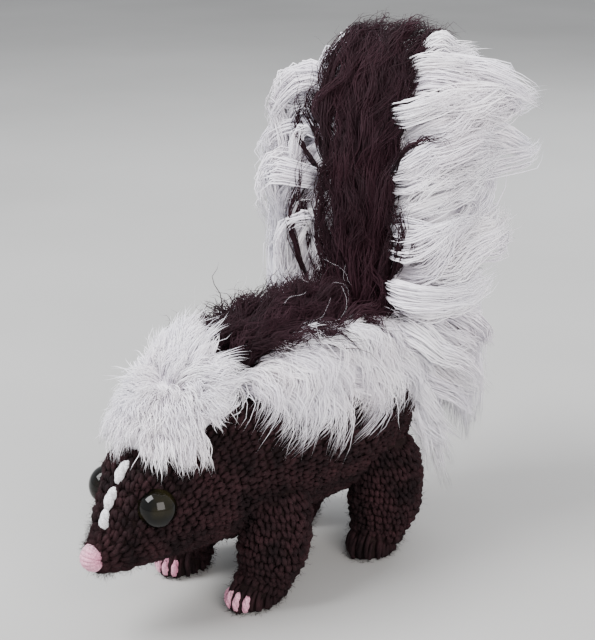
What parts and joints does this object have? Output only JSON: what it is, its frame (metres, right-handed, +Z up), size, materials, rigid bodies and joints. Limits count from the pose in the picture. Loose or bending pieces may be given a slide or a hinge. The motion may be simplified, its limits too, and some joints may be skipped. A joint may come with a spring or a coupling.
{
  "type": "crocheted skunk toy",
  "caption": "Standing stuffed skunk toy in dark crocheted yarn, with a brushed white crest and side stripes and a large upright tail of long dark and white yarn hair.",
  "frame": {"origin": "on the floor under the middle of the toy's box, tail hair included", "axes": "+Z up; the head looks towards -Y and the tail stands at the +Y end; +X is the toy's left side"},
  "size_m": [0.1462, 0.2714, 0.2691],
  "materials": {
    "dark_crochet": "near-black dark brown yarn in tight crochet stitches",
    "dark_brushed_yarn": "near-black dark brown yarn brushed into loose wavy hair",
    "white_brushed_yarn": "white yarn brushed into soft hair",
    "white_yarn": "white yarn stitches",
    "pink_yarn": "pink yarn satin stitches",
    "eye_plastic": "polished near-black safety eye"
  },
  "bodies": {
    "root": {"head": "dark_crochet", "torso": "dark_crochet", "nose": "pink_yarn", "eye_left": "eye_plastic", "eye_right": "eye_plastic", "blaze_low": "white_yarn", "blaze_mid": "white_yarn", "blaze_top": "white_yarn", "leg_front_left": "dark_crochet", "toe_front_left_1": "pink_yarn", "toe_front_left_2": "pink_yarn", "toe_front_left_3": "pink_yarn", "toe_front_left_4": "pink_yarn", "leg_front_right": "dark_crochet", "toe_front_right_1": "pink_yarn", "toe_front_right_2": "pink_yarn", "toe_front_right_3": "pink_yarn", "toe_front_right_4": "pink_yarn", "leg_hind_left": "dark_crochet", "leg_hind_right": "dark_crochet", "crest": "white_brushed_yarn", "stripe_left": "white_brushed_yarn", "stripe_right": "white_brushed_yarn", "back_fur": "dark_brushed_yarn", "tail_dark": "dark_brushed_yarn", "tail_white_left": "white_brushed_yarn", "tail_white_right": "white_brushed_yarn"}
  },
  "joints": []
}
